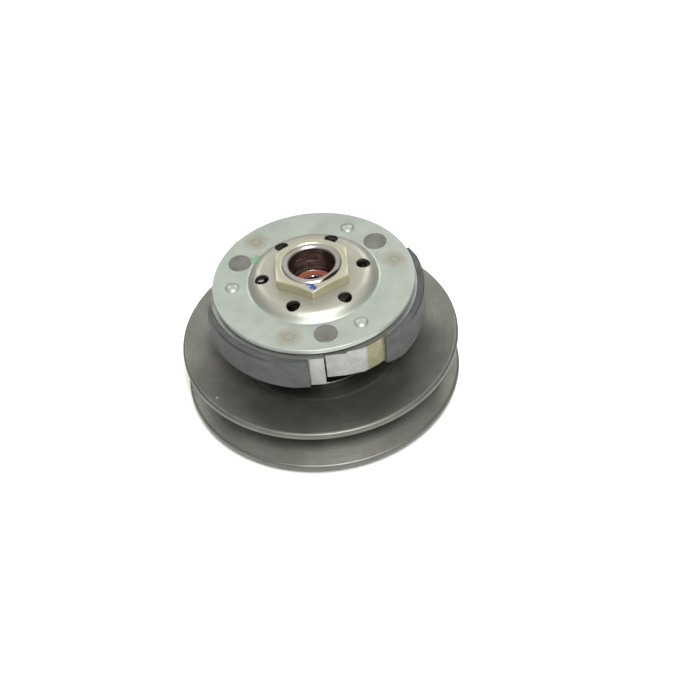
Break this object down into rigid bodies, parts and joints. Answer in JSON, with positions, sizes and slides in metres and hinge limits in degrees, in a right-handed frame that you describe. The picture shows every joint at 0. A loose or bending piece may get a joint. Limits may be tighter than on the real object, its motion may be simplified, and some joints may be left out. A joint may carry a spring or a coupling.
{
  "type": "scooter driven pulley with centrifugal clutch",
  "caption": "Belt-drive driven pulley: two conical discs on a common hub, one sliding against a spring on cam slots, with a centrifugal shoe clutch on top.",
  "frame": {"origin": "on the pulley's axis at the lower end of the hub, its lowest point", "axes": "+Z along the axis from the fixed disc to the clutch nut; +X and +Y across, with the first shoe pivot 33.75 degrees from +X"},
  "size_m": [0.134, 0.134, 0.076],
  "materials": {
    "sheave_steel": "oiled phosphated steel, matt, turned",
    "hub_steel": "ground and turned steel",
    "zinc_plate": "pale zinc plating",
    "nut_zinc": "pale yellow zinc plating",
    "pin_steel": "plain steel, riveted ends dull",
    "bearing_steel": "ground bearing steel",
    "cage_polymer": "moulded polyamide",
    "orange_rubber": "orange nitrile rubber",
    "black_rubber": "black nitrile rubber",
    "spring_steel": "black phosphated spring wire",
    "small_spring_steel": "bright spring wire",
    "shoe_aluminium": "die-cast aluminium, machined outside",
    "friction_lining": "dark blue-grey friction material"
  },
  "bodies": {
    "pulley": {"fixed_sheave": "sheave_steel", "fixed_hub": "hub_steel", "needle_cup": "bearing_steel", "ball_outer_race": "bearing_steel", "bearing_seals": "orange_rubber", "guide_pins": "pin_steel", "clutch_plate": "zinc_plate", "clutch_nut": "nut_zinc", "pivot_pins": "pin_steel", "pivot_washers": "pin_steel", "e_clips": "pin_steel", "damper_pins": "zinc_plate", "damper_rubbers": "black_rubber", "shoe_spring_1": "small_spring_steel", "shoe_spring_2": "small_spring_steel", "shoe_spring_3": "small_spring_steel"},
    "spring_seat": {"seal_collar": "hub_steel", "main_spring": "spring_steel"},
    "sliding_disc": {"sliding_sheave": "sheave_steel", "sliding_sleeve": "hub_steel", "oil_seal_lower": "black_rubber", "oil_seal_upper": "black_rubber", "o_rings": "black_rubber"},
    "bearing_inner": {"ball_inner_race": "bearing_steel"},
    "ball_set": {"balls": "bearing_steel", "ball_cage": "cage_polymer"},
    "needle_set": {"needle_rollers": "bearing_steel", "needle_cage": "cage_polymer"},
    "roller_1": {"guide_roller_1": "pin_steel"},
    "clutch_shoe_1": {"shoe_1": "shoe_aluminium", "lining_1": "friction_lining"},
    "roller_2": {"guide_roller_2": "pin_steel"},
    "clutch_shoe_2": {"shoe_2": "shoe_aluminium", "lining_2": "friction_lining"},
    "roller_3": {"guide_roller_3": "pin_steel"},
    "clutch_shoe_3": {"shoe_3": "shoe_aluminium", "lining_3": "friction_lining"}
  },
  "joints": [
    {"name": "disc_slide", "type": "slide", "parent": "pulley", "child": "spring_seat", "axis": [0, 0, 1], "range_m": [0, 0.012], "stiffness_N_per_m": 3000, "deforming": ["main_spring"]},
    {"name": "disc_turn", "type": "hinge", "parent": "spring_seat", "child": "sliding_disc", "pos_m": [0, 0, 0.03], "axis": [0, 0, 1], "range_deg": [0, 24]},
    {"name": "inner_race_spin", "type": "hinge", "parent": "pulley", "child": "bearing_inner", "pos_m": [0, 0, 0.0595], "axis": [0, 0, 1], "continuous": true},
    {"name": "ball_set_spin", "type": "hinge", "parent": "pulley", "child": "ball_set", "pos_m": [0, 0, 0.0595], "axis": [0, 0, 1], "continuous": true},
    {"name": "needle_set_spin", "type": "hinge", "parent": "pulley", "child": "needle_set", "pos_m": [0, 0, 0.009], "axis": [0, 0, 1], "continuous": true},
    {"name": "roller_1_spin", "type": "hinge", "parent": "pulley", "child": "roller_1", "pos_m": [0.01601, 0.01069, 0.0426], "axis": [0.8315, 0.5556, 0], "range_deg": [0, 240]},
    {"name": "shoe_1_swing", "type": "hinge", "parent": "pulley", "child": "clutch_shoe_1", "pos_m": [0.03145, 0.02102, 0.056], "axis": [0, 0, -1], "range_deg": [0, 3.5], "stiffness_Nm_per_rad": 2},
    {"name": "roller_2_spin", "type": "hinge", "parent": "pulley", "child": "roller_2", "pos_m": [-0.01726, 0.00851, 0.0426], "axis": [-0.8969, 0.4423, 0], "range_deg": [0, 240]},
    {"name": "shoe_2_swing", "type": "hinge", "parent": "pulley", "child": "clutch_shoe_2", "pos_m": [-0.03393, 0.01673, 0.056], "axis": [0, 0, -1], "range_deg": [0, 3.5], "stiffness_Nm_per_rad": 2},
    {"name": "roller_3_spin", "type": "hinge", "parent": "pulley", "child": "roller_3", "pos_m": [0.00126, -0.01921, 0.0426], "axis": [0.0654, -0.9979, 0], "range_deg": [0, 240]},
    {"name": "shoe_3_swing", "type": "hinge", "parent": "pulley", "child": "clutch_shoe_3", "pos_m": [0.00247, -0.03775, 0.056], "axis": [0, 0, -1], "range_deg": [0, 3.5], "stiffness_Nm_per_rad": 2}
  ],
  "couplings": [
    {"joint": "disc_turn", "follows": "disc_slide", "rad_per_m": 34.907},
    {"joint": "ball_set_spin", "follows": "inner_race_spin", "ratio": 0.43},
    {"joint": "roller_1_spin", "follows": "disc_slide", "rad_per_m": 344.23},
    {"joint": "roller_2_spin", "follows": "disc_slide", "rad_per_m": 344.23},
    {"joint": "roller_3_spin", "follows": "disc_slide", "rad_per_m": 344.23}
  ]
}
